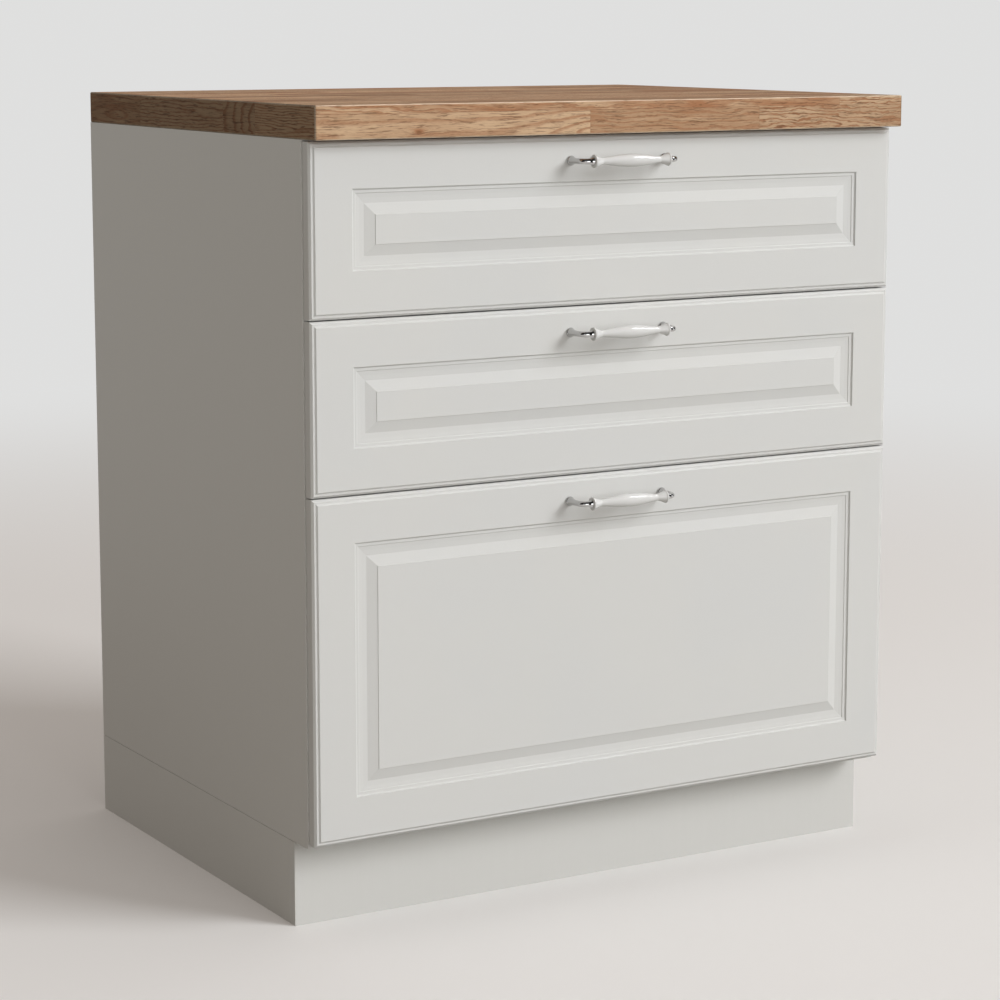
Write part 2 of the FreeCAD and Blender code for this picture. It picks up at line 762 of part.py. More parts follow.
def inner_runner(number, side, sign):
    steel, hollow = channel(number, sign, "inner_start", "runner_inner_depth", "inner_member_half", False)
    screws, holes, box_holes = [], [hollow], []
    for y in runner_screw_places():
        inward = (-sign, 0, 0)
        point = (f"{sign} * (box_outer_half + runner_wall)", y, f"runner_{number}_z")
        screws.append(screw(point, inward, "runner_screw_length"))
        holes.append(rod(point, inward, "screw_hole", "runner_wall"))
        box_point = (f"{sign} * box_outer_half", y, f"runner_{number}_z")
        box_holes.append(rod(box_point, inward, "screw_hole", "runner_screw_length - runner_wall"))
    node(f"runner_{number}_{side}_inner", cut(steel, holes))
    return screws, box_holes


def drawer(number):
    bottom, top = f"box_{number}_bottom", f"box_{number}_top"
    box_height = f"{top} - ({bottom})"
    panel_z, panel_top = f"panel_{number}_bottom", f"panel_{number}_top"
    fixings, front_cuts, back_cuts = [], [], []

    for side, sign in SIDES.items():
        x = "-box_outer_half" if sign < 0 else "box_inner_half"
        board = block((x, "front_back_y", bottom), ("box_board", "box_length", box_height))
        screws, side_cuts = inner_runner(number, side, sign)
        fixings += screws
        middle_x = f"{sign} * (box_outer_half - box_board / 2)"
        for z in (f"{bottom} + cam_edge_distance", f"{top} - cam_edge_distance"):
            point = (middle_x, "front_back_y", z)
            pieces, board_cuts, mate_cuts = cam_joint(point, BACKWARD, (sign, 0, 0), "box_board")
            fixings += pieces
            side_cuts += board_cuts
            front_cuts += mate_cuts

            # The box's back is screwed through the sides.
            head = (f"{sign} * (box_outer_half - screw_head_height)", "box_back_y + box_board / 2", z)
            inward = (-sign, 0, 0)
            fixings.append(screw(head, inward, "box_board + screw_length - screw_head_height"))
            face = (f"{sign} * box_outer_half", head[1], z)
            recess = rod(face, inward, "screw_head_radius + screw_clearance", "screw_head_height")
            through = rod(face, inward, "screw_hole", "box_board")
            side_cuts.append(joined([recess, through]))
            seat = (f"{sign} * box_inner_half", head[1], z)
            back_cuts.append(rod(seat, inward, "screw_hole", "screw_length"))
        groove_x = "-box_inner_half - groove_depth" if sign < 0 else "box_inner_half"
        groove = ("groove_depth", "box_length", "groove_height")
        side_cuts.append(block((groove_x, "front_back_y", panel_z), groove))
        node(f"drawer_{number}_side_{side}", cut(board, side_cuts))

    back_height = f"{top} - ({panel_top})"
    back = centred_block("2 * box_inner_half", "box_back_y", panel_top, "box_board", back_height)
    node(f"drawer_{number}_back", cut(back, back_cuts))
    panel_width = "2 * (box_inner_half + groove_depth - groove_clearance)"
    panel_y = "front_back_y - front_groove_depth + groove_clearance"
    panel_depth = f"runner_rear_y - ({panel_y})"
    panel = centred_block(panel_width, panel_y, panel_z, panel_depth, "box_bottom_thickness")
    node(f"drawer_{number}_bottom", panel)

    groove_y = "front_back_y - front_groove_depth"
    groove_width = "2 * (box_inner_half + groove_depth)"
    front_cuts.append(centred_block(groove_width, groove_y, panel_z, "front_groove_depth", "groove_height"))
    for sign in SIDES.values():
        point = (f"{sign} * post_x", "front_back_y", f"handle_{number}_z")
        fixings.append(screw(point, FORWARD, "handle_screw_length"))
        front_cuts.append(rod(point, FORWARD, "screw_hole", "front_thickness"))
    node(f"drawer_{number}_front", cut(front_board(number), front_cuts))
    handle_posts(number)
    handle_grip(number)
    node(f"drawer_{number}_fixings", group(fixings))


def cabinet():
    panels, panel_cuts, side_cuts, worktop_cuts, fixings = carcass()
    worktop(worktop_cuts)
    plinth()
    screws, bottom_cuts = legs()
    fixings += screws
    panel_cuts["bottom_panel"] += bottom_cuts
    plinth_clips()
    bumpers()
    for number in DRAWERS:
        for side, sign in SIDES.items():
            screws, panel_holes = outer_runner(number, side, sign)
            fixings += screws
            side_cuts[side] += panel_holes
            middle_runner(number, side, sign)
        drawer(number)
    for name, panel in panels.items():
        node(name, cut(panel, panel_cuts[name]))
    for side, sign in SIDES.items():
        x = "-half_width" if sign < 0 else "inner_half"
        board = block((x, "carcass_front_y", "plinth_height"), ("board", "carcass_depth", "carcass_height"))
        node(f"side_panel_{side}", cut(board, side_cuts[side]))
    node("cabinet_fixings", group(fixings))


def check_and_export():
    doc.recompute()
    failed = [item.Name for item in doc.Objects if {"Invalid", "Error"} & set(item.State)]
    failed += [name for name, item in nodes.items() if item.Shape.isNull() or not item.Shape.isValid()]
    if failed:
        raise RuntimeError(f"failed: {failed}")
    os.makedirs("parts", exist_ok=True)
    for name, item in nodes.items():
        item.Shape.exportStep(f"parts/{name}.step")
        print(f"{name}: {len(item.Shape.Solids)} solids, {item.Shape.Volume / 1000:.1f} cm3")
    print(f"{len(nodes)} nodes, {len(doc.Objects)} objects")


fill_sheet()
cabinet()
check_and_export()
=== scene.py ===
import json
import math

import bpy
import numpy as np
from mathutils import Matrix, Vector

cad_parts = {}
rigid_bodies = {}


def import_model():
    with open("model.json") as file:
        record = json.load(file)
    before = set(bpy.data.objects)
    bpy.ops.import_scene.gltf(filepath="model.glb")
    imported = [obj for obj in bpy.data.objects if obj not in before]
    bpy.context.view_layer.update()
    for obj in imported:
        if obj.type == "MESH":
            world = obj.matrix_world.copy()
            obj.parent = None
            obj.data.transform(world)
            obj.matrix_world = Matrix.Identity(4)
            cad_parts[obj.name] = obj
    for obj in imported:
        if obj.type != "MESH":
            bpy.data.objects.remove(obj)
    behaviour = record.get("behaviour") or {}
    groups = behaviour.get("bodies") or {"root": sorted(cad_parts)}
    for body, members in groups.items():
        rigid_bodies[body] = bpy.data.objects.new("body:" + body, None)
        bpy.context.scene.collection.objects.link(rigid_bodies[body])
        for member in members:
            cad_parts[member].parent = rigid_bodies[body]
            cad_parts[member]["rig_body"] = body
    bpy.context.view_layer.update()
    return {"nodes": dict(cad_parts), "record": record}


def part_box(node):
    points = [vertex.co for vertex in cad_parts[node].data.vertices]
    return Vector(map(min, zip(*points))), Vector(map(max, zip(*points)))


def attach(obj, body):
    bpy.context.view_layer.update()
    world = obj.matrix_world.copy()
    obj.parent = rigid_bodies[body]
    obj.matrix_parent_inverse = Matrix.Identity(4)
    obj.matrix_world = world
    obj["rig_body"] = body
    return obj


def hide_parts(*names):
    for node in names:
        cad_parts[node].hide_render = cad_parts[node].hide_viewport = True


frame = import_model()
nodes = frame["nodes"]
slotOf = {row["node"]: row["material_slot"] for row in frame["record"]["subparts"]}
mm = 0.001
print("frame loaded:", len(nodes), "nodes")


# Points of a circle's arc: centre plus radius times cosine and sine, evenly spaced in angle (degrees).
def arc(centre, radius, start, end, steps):
    angle = np.radians(np.linspace(start, end, steps + 1))
    return np.stack([centre[0] + radius * np.cos(angle), centre[1] + radius * np.sin(angle)], 1)


# A long straight stretch of a profile gets a point close to each end, so that shading stays flat between them.
def supported(profile, reach=0.3, longest=1.5):
    profile = np.asarray(profile, float)
    step = np.diff(profile, axis=0)
    length = np.maximum(np.linalg.norm(step, axis=1, keepdims=True), 1e-9)
    near, far = profile[:-1] + step / length * reach, profile[1:] - step / length * reach
    isLong = length[:, 0] > longest
    order = np.concatenate([np.arange(len(profile)), np.flatnonzero(isLong) + 0.3, np.flatnonzero(isLong) + 0.6])
    rows = np.concatenate([profile, near[isLong], far[isLong]])
    return rows[np.argsort(order, kind="stable")]


# Quads between each closed ring of points and the next, and one flat face over the first and the last ring.
def ringFaces(rings, count, capped=True):
    ring, spot = np.meshgrid(np.arange(rings - 1), np.arange(count), indexing="ij")
    here, beside = ring * count + spot, ring * count + (spot + 1) % count
    faces = [np.stack([here, beside, beside + count, here + count], -1).reshape(-1, 4)]
    if capped:
        faces += [np.arange(count)[None, ::-1], (rings - 1) * count + np.arange(count)[None]]
    return faces


# A closed block is inside out when the signed volume of the fans over its faces is negative.
def outward(points, faces):
    volume = 0.0
    for group in faces:
        first, second, third = points[group[:, :1]], points[group[:, 1:-1]], points[group[:, 2:]]
        volume += (np.cross(np.broadcast_to(first, second.shape), second) * third).sum()
    return faces if volume > 0 else [group[:, ::-1] for group in faces]


# Several closed blocks as one set of points and faces.
def together(blocks):
    starts = np.cumsum([0] + [len(points) for points, _ in blocks])
    faces = [group + start for (points, groups), start in zip(blocks, starts) for group in groups]
    return np.concatenate([points for points, _ in blocks]), faces


def makeMesh(name, points, faces):
    mesh = bpy.data.meshes.new(name)
    corners = np.concatenate([group.ravel() for group in faces]).astype(np.int32)
    sides = np.concatenate([np.full(len(group), group.shape[1]) for group in faces])
    mesh.vertices.add(len(points))
    mesh.vertices.foreach_set("co", np.asarray(points, np.float32).ravel())
    mesh.loops.add(len(corners))
    mesh.loops.foreach_set("vertex_index", corners)
    mesh.polygons.add(len(sides))
    mesh.polygons.foreach_set("loop_start", np.concatenate([[0], np.cumsum(sides)[:-1]]).astype(np.int32))
    mesh.update(calc_edges=True)
    mesh.shade_smooth()
    return mesh


# Edges that turn more than an angle are drawn sharp, and so are mitres, which join points of one corner.
def sharpen(mesh, angle, corners=0):
    mesh.set_sharp_from_angle(angle=math.radians(angle))
    if corners:
        ends = np.empty(len(mesh.edges) * 2, np.int32)
        mesh.edges.foreach_get("vertices", ends)
        sharp = np.empty(len(mesh.edges), bool)
        mesh.edges.foreach_get("use_edge_sharp", sharp)
        mesh.edges.foreach_set("use_edge_sharp", sharp | (ends[0::2] % corners == ends[1::2] % corners))


# A finished piece takes the body, the material slot and the place of the CAD nodes that it stands for.
def addPiece(name, mesh, *stoodFor):
    piece = bpy.data.objects.new(name, mesh)
    bpy.context.scene.collection.objects.link(piece)
    slot = slotOf[stoodFor[0]]
    mesh.materials.append(finishes[slot])
    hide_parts(*stoodFor)
    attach(piece, nodes[stoodFor[0]]["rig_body"])


# A board with mitred corners: a profile row is an inset of its outline and a height above its start along one axis.
def mitredBoard(low, high, axis, forward, profile):
    first, second = [(1, 2), (0, 2), (0, 1)][axis]
    inset, rise = np.asarray(profile, float).T * mm
    points = np.empty((len(inset), 4, 3))
    points[:, :, axis] = ((low if forward > 0 else high)[axis] + forward * rise)[:, None]
    for place, ends in ((first, (0, 1, 1, 0)), (second, (0, 0, 1, 1))):
        edges = np.stack([low[place] + inset, high[place] - inset])
        points[:, :, place] = edges[list(ends)].T
    points = points.reshape(-1, 3)
    return points, outward(points, ringFaces(len(inset), 4))


class Wire:  # one output of a node; arithmetic on it adds Math nodes
    def __init__(self, sheet, socket):
        self.sheet, self.socket = sheet, socket

    def math(self, operation, *others):
        return self.sheet.node("Math", {"operation": operation}, dict(enumerate((self,) + others)))

    def __add__(self, other):
        return self.math("ADD", other)

    def __sub__(self, other):
        return self.math("SUBTRACT", other)

    def __rsub__(self, other):
        return self.sheet.node("Math", {"operation": "SUBTRACT"}, {0: other, 1: self})

    def __mul__(self, other):
        return self.math("MULTIPLY", other)

    def __truediv__(self, other):
        return self.math("DIVIDE", other)

    def __rtruediv__(self, other):
        return self.sheet.node("Math", {"operation": "DIVIDE"}, {0: other, 1: self})

    def __pow__(self, other):
        return self.math("POWER", other)

    __radd__, __rmul__ = __add__, __mul__


class Sheet:  # a node tree that is being drawn
    def __init__(self, owner):
        owner.use_nodes = True
        self.owner, self.tree = owner, owner.node_tree
        self.tree.nodes.clear()

    def node(self, kind, settings=None, sockets=None, out=0):
        made = self.tree.nodes.new("ShaderNode" + kind)
        for name, value in (settings or {}).items():
            setattr(made, name, value)
        for key, value in (sockets or {}).items():
            if isinstance(value, Wire):
                self.tree.links.new(value.socket, made.inputs[key])
            else:
                made.inputs[key].default_value = value
        return Wire(self, made.outputs[out]) if len(made.outputs) else made

    def place(self):
        return self.node("TexCoord", out="Object")

    def attribute(self, name, out="Vector"):
        return self.node("Attribute", {"attribute_name": name}, out=out)

    def stretched(self, vector, factors):
        return self.node("VectorMath", {"operation": "MULTIPLY"}, {0: vector, 1: factors})

    def split(self, vector):
        parts = self.node("SeparateXYZ", sockets={0: vector})
        return [Wire(self, socket) for socket in parts.socket.node.outputs]

    def noise(self, vector, scale, detail=2.0, roughness=0.5, distortion=0.0):
        return self.node("TexNoise", None, {"Vector": vector, "Scale": scale, "Detail": detail,
                                            "Roughness": roughness, "Distortion": distortion})

    def rise(self, value, low, high):  # 0 below low, 1 above high, smooth between
        return self.node("MapRange", {"interpolation_type": "SMOOTHSTEP"}, {0: value, 1: low, 2: high})

    def mix(self, factor, first, second):
        first, second = [value if isinstance(value, Wire) else tuple(value) + (1.0,) * (4 - len(value))
                         for value in (first, second)]
        return self.node("Mix", {"data_type": "RGBA", "blend_type": "MIX", "clamp_factor": True},
                         {0: factor, 6: first, 7: second}, out=2)

    def shade(self, colour, factor):  # a colour made lighter or darker by a number
        return self.node("VectorMath", {"operation": "SCALE"}, {0: colour, 3: factor})

    def bump(self, height, depth, strength=1.0):
        return self.node("Bump", None, {"Height": height, "Distance": depth, "Strength": strength})

    def surface(self, colour, roughness, **others):
        sockets = {"Base Color": colour, "Roughness": roughness}
        names = {"metallic": "Metallic", "specular": "Specular IOR Level", "normal": "Normal"}
        sockets.update({names[key]: value for key, value in others.items()})
        self.node("OutputMaterial", None, {0: self.node("BsdfPrincipled", None, sockets)})
        return self.owner


def newSheet(name):
    return Sheet(bpy.data.materials.new(name))


paint = {
    "colour": (0.631, 0.636, 0.627), "warmer": (0.639, 0.641, 0.626),
    "gloss": 0.52, "specular": 0.32,
    "cloud": 5.0, "peel": 420.0, "peelDepth": 0.00004,  # patterns per metre, and metres
}


# Satin paint: a cloud that hardly shifts the tone, and the fine orange peel of a sprayed coat.
def satinPaint():
    sheet = newSheet("satinPaint")
    place = sheet.place()
    cloud = sheet.noise(place, paint["cloud"], 3.0)
    peel = sheet.noise(place, paint["peel"], 2.0)
    colour = sheet.mix(sheet.rise(cloud, 0.35, 0.65), paint["colour"], paint["warmer"])
    return sheet.surface(colour, cloud * 0.10 + (paint["gloss"] - 0.05),
                         normal=sheet.bump(peel, paint["peelDepth"]), specular=paint["specular"])


melamine = {
    "carcass": (0.628, 0.627, 0.606), "box": (0.760, 0.758, 0.740), "back": (0.700, 0.696, 0.672),
    "along": 9.0, "across": 220.0, "pearl": 1400.0, "pearlDepth": 0.00003,  # patterns per metre, and metres
}


# Faced board: a pressed pearl pattern and a faint long streak of its printing.
def facedBoard(name, colour, gloss, grainAxis):
    sheet = newSheet(name)
    place = sheet.place()
    longWay = [melamine["along" if axis == grainAxis else "across"] for axis in range(3)]
    streak = sheet.noise(sheet.stretched(place, longWay), 1.0, 3.0)
    pearl = sheet.noise(place, melamine["pearl"], 1.0)
    paler = tuple(value * 1.01 for value in colour)
    darker = tuple(value * 0.99 for value in colour)
    return sheet.surface(sheet.mix(streak, darker, paler), streak * 0.08 + (gloss - 0.04),
                         normal=sheet.bump(pearl, melamine["pearlDepth"]))


oak = {
    "pale": (0.605, 0.421, 0.267),
    "middle": (0.455, 0.281, 0.165),
    "red": (0.385, 0.186, 0.096),
    "pore": (0.140, 0.068, 0.036),
    # painted highlight: the pale colour the edges are mixed towards, standing in for the glossy sheen that catches the
    # light there
    "paintedEdgeSheen": (0.880, 0.760, 0.600),
    "endShade": 0.50,  # end grain drinks more oil and is darker
    "gloss": 0.62, "specular": 0.05, "poreDepth": 0.00020,
}


# Each stave is a cut through a log. A ring's number is the distance from the pith over the ring's width. The pith bends
# away from the surface at both sides of the flames: its depth is a limit times the hyperbolic tangent of the lean.
def oiledOak():
    sheet = newSheet("oiledOak")
    tone, red, wavy = sheet.split(sheet.attribute("stave", "Color"))
    ringWidth = sheet.attribute("stave", "Alpha")
    reach, shade, _ = sheet.split(sheet.attribute("cut"))
    log = sheet.attribute("log")
    along, across, lean = sheet.split(log)
    knotAlong, knotAcross, _ = sheet.split(sheet.attribute("knot"))
    border = sheet.split(sheet.attribute("border", "Color"))
    edge = sheet.attribute("border", "Alpha")
    fibreOf = sheet.node("CombineXYZ", None, {0: along, 1: across, 2: 0.0})

    knot = ((knotAlong * 0.5) ** 2.0 + knotAcross ** 2.0) ** 0.5
    swirl = (knot * (-260.0)).math("EXPONENT")
    slow = sheet.noise(sheet.stretched(fibreOf, (9.0, 40.0, 1.0)), 1.0, 2.0) - 0.5
    quick = sheet.noise(sheet.stretched(fibreOf, (26.0, 85.0, 1.0)), 1.0, 3.0, 0.55) - 0.5
    bent = (lean / reach).math("TANH")
    deep = bent * reach
    flame = 1.0 - bent.math("ABSOLUTE")
    radius = (across * across + deep * deep) ** 0.5
    radius = radius + slow * (7.0 * mm) + quick * (wavy * (20.0 * mm) + 2.0 * mm) + swirl * (5.0 * mm)
    phase = (radius / ringWidth).math("FRACT")
    early = sheet.rise(phase, 0.45, 0.80) * (1.0 - sheet.rise(phase, 0.88, 1.0))

    strayed = across + slow * (6.0 * mm) + quick * (wavy * (8.0 * mm) + 2.0 * mm) + swirl * (5.0 * mm)
    warped = sheet.node("CombineXYZ", None, {0: along, 1: strayed, 2: 0.0})
    fibre = sheet.noise(sheet.stretched(warped, (16.0, 900.0, 1.0)), 1.0, 3.0, 0.6)
    streak = sheet.noise(sheet.stretched(warped, (7.0, 120.0, 1.0)), 1.0, 4.0, 0.6)
    patch = sheet.noise(sheet.stretched(warped, (13.0, 55.0, 1.0)), 1.0, 2.0)
    coarse = sheet.noise(sheet.stretched(warped, (36.0, 640.0, 1.0)), 1.0, 3.0, 0.70, 0.3)
    fine = sheet.noise(sheet.stretched(warped, (110.0, 1700.0, 1.0)), 1.0, 1.0)
    dashes = sheet.rise(coarse, 0.53, 0.61)
    pores = sheet.rise(fine, 0.54, 0.70) * (early * 0.6 + 0.4)

    darkness = tone + (streak - 0.5) * 1.8 + (patch - 0.5) * 0.9 - flame * 0.5
    redness = red + (patch - 0.5) * 1.6 + (streak - 0.5) * 1.2 + swirl * 1.2
    colour = sheet.mix(sheet.rise(darkness, 0.0, 1.0), oak["pale"], oak["middle"])
    colour = sheet.mix(sheet.rise(redness, 0.35, 1.10), colour, oak["red"])
    colour = sheet.mix(early * (wavy * 0.32 + flame * 0.32 + 0.46), colour, oak["red"])
    colour = sheet.mix(pores * 0.35, colour, oak["pore"])
    colour = sheet.mix(dashes * 0.62, colour, oak["pore"])
    heart = 1.0 - sheet.rise(knot + quick * (3.0 * mm), 0.4 * mm, 2.4 * mm)
    colour = sheet.mix(heart * 0.5, colour, oak["pore"])
    glue = 1.0 - sheet.rise(border[0].math("MINIMUM", border[1]).math("MINIMUM", border[2]), 0.1 * mm, 0.45 * mm)
    colour = sheet.mix(glue * 0.22, colour, oak["pore"])
    # Painted highlight: within 1.5 mm of the worktop's edges the colour turns paler, in place of the light's sheen on
    # the rounded edges; pores stay darker
    paintedEdgeSheen = (1.0 - sheet.rise(edge, 0.5 * mm, 1.5 * mm)) * (1.0 - dashes * 0.6)
    colour = sheet.mix(paintedEdgeSheen * 0.65, colour, oak["paintedEdgeSheen"])
    colour = sheet.shade(colour, shade * (fibre * 0.30 + 0.86))
    height = 1.0 - pores * 0.5 - dashes * 0.7 - early * 0.15 - glue * 0.4 - heart * 0.6 + fibre * 0.2
    return sheet.surface(colour, pores * 0.12 + oak["gloss"],
                         normal=sheet.bump(height, oak["poreDepth"], 0.7), specular=oak["specular"])


glazing = {
    "thin": (0.665, 0.667, 0.660), "pooled": (0.682, 0.682, 0.672),
    "gloss": 0.08, "specular": 0.42,
    "pools": 60.0, "waves": 90.0, "waveDepth": 0.00002,  # patterns per metre, and metres
}


# Fired glaze: a little denser and duller where it pooled, on a surface that waves very slightly.
def glaze():
    sheet = newSheet("whiteGlaze")
    place = sheet.place()
    pooled = sheet.noise(place, glazing["pools"], 2.0)
    wave = sheet.noise(place, glazing["waves"], 1.0)
    colour = sheet.mix(pooled, glazing["thin"], glazing["pooled"])
    return sheet.surface(colour, pooled * 0.04 + glazing["gloss"],
                         normal=sheet.bump(wave, glazing["waveDepth"]), specular=glazing["specular"])


# Plated metal: a faint cloud of tone and gloss, over rolling lines or fine grain.
def metal(name, colour, gloss, spread, lines=(900.0, 900.0, 900.0), depth=0.00001):
    sheet = newSheet(name)
    place = sheet.place()
    cloud = sheet.noise(place, 35.0, 3.0)
    grain = sheet.noise(sheet.stretched(place, lines), 1.0, 1.0)
    darker = tuple(value * 0.86 for value in colour)
    return sheet.surface(sheet.mix(cloud, darker, colour), cloud * spread + gloss, metallic=1.0,
                         normal=sheet.bump(grain, depth))


# Moulded plastic or rubber with the fine grain of its mould.
def moulded(name, colour, gloss, scale, depth):
    sheet = newSheet(name)
    place = sheet.place()
    grain = sheet.noise(place, scale, 2.0)
    paler = tuple(value * 1.35 for value in colour)
    return sheet.surface(sheet.mix(grain, colour, paler), grain * 0.12 + gloss, normal=sheet.bump(grain, depth))


finishes = {
    "painted_front": satinPaint(),
    "carcass_board": facedBoard("carcassBoard", melamine["carcass"], 0.46, 2),
    "box_board": facedBoard("boxBoard", melamine["box"], 0.42, 1),
    "back_board": facedBoard("backBoard", melamine["back"], 0.50, 2),
    "oak_worktop": oiledOak(),
    "ceramic": glaze(),
    "chrome": metal("chrome", (0.58, 0.575, 0.57), 0.03, 0.03),
    "runner_steel": metal("galvanised", (0.64, 0.65, 0.67), 0.30, 0.14, (900.0, 12.0, 900.0), 0.00002),
    "zinc_steel": metal("zincScrews", (0.60, 0.59, 0.56), 0.28, 0.16),
    "black_plastic": moulded("blackPlastic", (0.022, 0.022, 0.023), 0.48, 1300.0, 0.00003),
    "soft_stop": moulded("softStop", (0.50, 0.50, 0.49), 0.30, 600.0, 0.00002),
}
for name, piece in nodes.items():
    for holder in piece.material_slots:
        holder.material = finishes[slotOf[name]]
print("finishes ready:", len(finishes))


worktop = {
    "stave": 40.0,  # a stave's width
    "wrap": 10.0,  # how far the first row comes down the front
    "easing": 1.6, "easingSteps": 4,  # rounding of every edge
    "clear": 6.0,  # no mesh line runs nearer than this to an edge
    "support": 3.0,  # apart from the ones that keep the faces beside the rounding flat
    "backLine": 25.0,  # the last mesh line, down the back
    "shortest": 230.0, "longest": 520.0, "firstShare": 0.6, "leastEnd": 60.0,
    "frontJoints": {-1: [351.0, 587.0], 0: [705.0]},
    "endBlocks": [150.0, 235.0, 475.0],
    "endRed": 0.35,  # end grain shows less of the red
    "logShift": 911.0,  # from one stave's grain to the next one's
    "farKnot": 9000.0, "farBorder": 9.0,  # so far away that a stave shows no knot, and an end no line across its blocks
    "seed": 11,
}
# the staves that show most: row and number, or end and block, then what they change; lengths in mm
worktopStaves = {
    (-1, 0): {"light": 0.95, "tone": 0.40, "red": 0.24, "wavy": 0.15, "ring": 7.0, "reach": 20.0, "slope": 0.28,
              "flame": 356.0, "offset": 6.0, "knot": (128.0, -1.0)},
    (-1, 1): {"light": 0.90, "tone": 0.85, "red": 0.34, "wavy": 0.30, "ring": 4.0, "reach": 26.0, "slope": 0.10,
              "flame": 60.0, "offset": 16.0},
    (-1, 2): {"light": 0.84, "tone": 0.60, "red": 0.30, "wavy": 0.75, "ring": 5.0, "reach": 16.0, "slope": 0.14,
              "flame": 640.0, "offset": 10.0},
    (0, 0): {"light": 0.96, "tone": 0.80, "red": 0.62, "wavy": 0.30, "ring": 4.4, "reach": 28.0, "slope": 0.06,
             "flame": -40.0, "offset": 24.0, "knot": (503.0, -17.0)},
    (0, 1): {"light": 0.88, "tone": 0.40, "red": 0.20, "wavy": 0.70, "ring": 5.0, "reach": 14.0, "slope": 0.16,
             "flame": 760.0, "offset": 5.0},
    ("end0", 1): {"light": 0.95, "tone": 0.70, "red": 0.15, "wavy": 0.45, "ring": 9.0, "reach": 120.0, "slope": 0.50,
                  "flame": 95.0, "offset": 4.0},
}


# The worktop's outline in the depth and height plane, unrolled: 0 is the top front edge, the top runs on to +depth
# and the front and the bottom run to minus. A point is its place on a core rectangle plus an outward arm of easing
# length, which turns by up to 45 degrees over the last stretch before a corner.
def unrolled(distance, width, height, easing):
    total = 2 * (width + height)
    start = (distance + height + width) % total  # measured from the bottom rear corner
    sides = np.array([width, height, width, height])
    borders = np.concatenate([[0], np.cumsum(sides)])
    side = np.clip(np.searchsorted(borders, start, "right") - 1, 0, 3)
    travel = start - borders[side]
    ways = np.array([[-1, 0], [0, 1], [1, 0], [0, -1]], float)
    outs = np.array([[0, -1], [-1, 0], [0, 1], [1, 0]], float)
    corners = np.array([[width, 0], [0, 0], [0, height], [width, height]], float)
    core = corners[side] + ways[side] * np.clip(travel, easing, sides[side] - easing)[:, None] - outs[side] * easing
    before = np.clip(1 - travel / easing, 0, 1) * 45
    after = np.clip(1 - (sides[side] - travel) / easing, 0, 1) * 45
    turn = np.radians(after - before)
    arm = outs[side] * np.cos(turn)[:, None] + ways[side] * np.sin(turn)[:, None]
    return core, arm


# Where the staves of every row meet: at the photo's joints, or after seeded random lengths.
def rowJoints(rows, length, rng):
    joints = {}
    for row in rows:
        places = [0.0]
        while places[-1] < length:
            share = worktop["firstShare"] if len(places) == 1 else 1
            places.append(places[-1] + rng.uniform(worktop["shortest"], worktop["longest"]) * share)
        places = [place for place in places if worktop["leastEnd"] < place < length - worktop["leastEnd"]]
        places = worktop["frontJoints"].get(row, places)
        joints[row] = np.array([0.0] + [float(place) for place in places] + [length])
    return joints


# Distances round the outline: the ladder of stave borders that the top and the bottom share, and the rounded corners.
def outlineDistances(rows, depth, height):
    easing, clear, wrap = worktop["easing"], worktop["clear"], worktop["wrap"]
    borders = rows * worktop["stave"] - wrap
    onTop = borders[(borders > clear) & (borders < depth - clear)]
    below = -borders[(borders < -height - clear) & (borders > -height - depth + clear)] - height
    ladder = np.unique(np.concatenate([onTop, below, np.array(worktop["endBlocks"])]).round(3))
    rounding = np.linspace(-easing, easing, 2 * worktop["easingSteps"] + 1)
    bend = np.concatenate([[-worktop["support"]], rounding, [worktop["support"]]])
    corners = [corner + bend for corner in (0, depth, -height, -height - depth)]
    distances = np.concatenate([ladder, -height - ladder] + corners + [[-wrap, depth + worktop["backLine"]]])
    distances = np.unique(distances.round(4))
    tiny = 1e-6
    inside = (distances > -height - depth - tiny) & (distances < depth + height - worktop["support"] - tiny)
    return ladder, distances[inside]


# Stations along the length, each with the inset of its outline: quarter circles at the ends, and a line at every joint.
def lengthStations(joints, length):
    easing = worktop["easing"]
    swing = np.radians(np.linspace(6, 90, worktop["easingSteps"] + 1))
    inset = easing * (1 - np.sin(swing))
    runIn = easing * (1 - np.cos(swing))
    inner = np.unique(np.concatenate(list(joints.values())).round(3))
    inner = inner[(inner > worktop["clear"]) & (inner < length - worktop["clear"])]
    inner = np.concatenate([[worktop["support"]], inner, [length - worktop["support"]]])
    return (np.concatenate([runIn, inner, length - runIn[::-1]]),
            np.concatenate([inset, np.zeros(len(inner)), inset[::-1]]))


# Quads between the stations, and each end as a ladder of quads from the bottom to the top, with one face at its front
# and one at its back.
def worktopFaces(points, stations, distances, ladder, depth, height):
    count = len(distances)
    sideQuads = ringFaces(stations, count, capped=False)[0]
    rung = {round(float(distance), 4): place for place, distance in enumerate(distances)}
    rails = [worktop["easing"]] + ladder.tolist() + [depth - worktop["easing"]]
    tops = np.array([rung[round(float(rail), 4)] for rail in rails])
    bottoms = np.array([rung[round(float(-height - rail), 4)] for rail in rails])
    caps = np.stack([bottoms[:-1], bottoms[1:], tops[1:], tops[:-1]], 1)
    nose = np.arange(bottoms[0], tops[0] + 1)[None]
    tail = np.concatenate([np.arange(tops[-1], count), np.arange(0, bottoms[-1] + 1)])[None]
    last = (stations - 1) * count
    return outward(points, [sideQuads, caps[:, ::-1], caps + last, nose[:, ::-1], nose + last,
                            tail[:, ::-1], tail + last]), len(sideQuads)


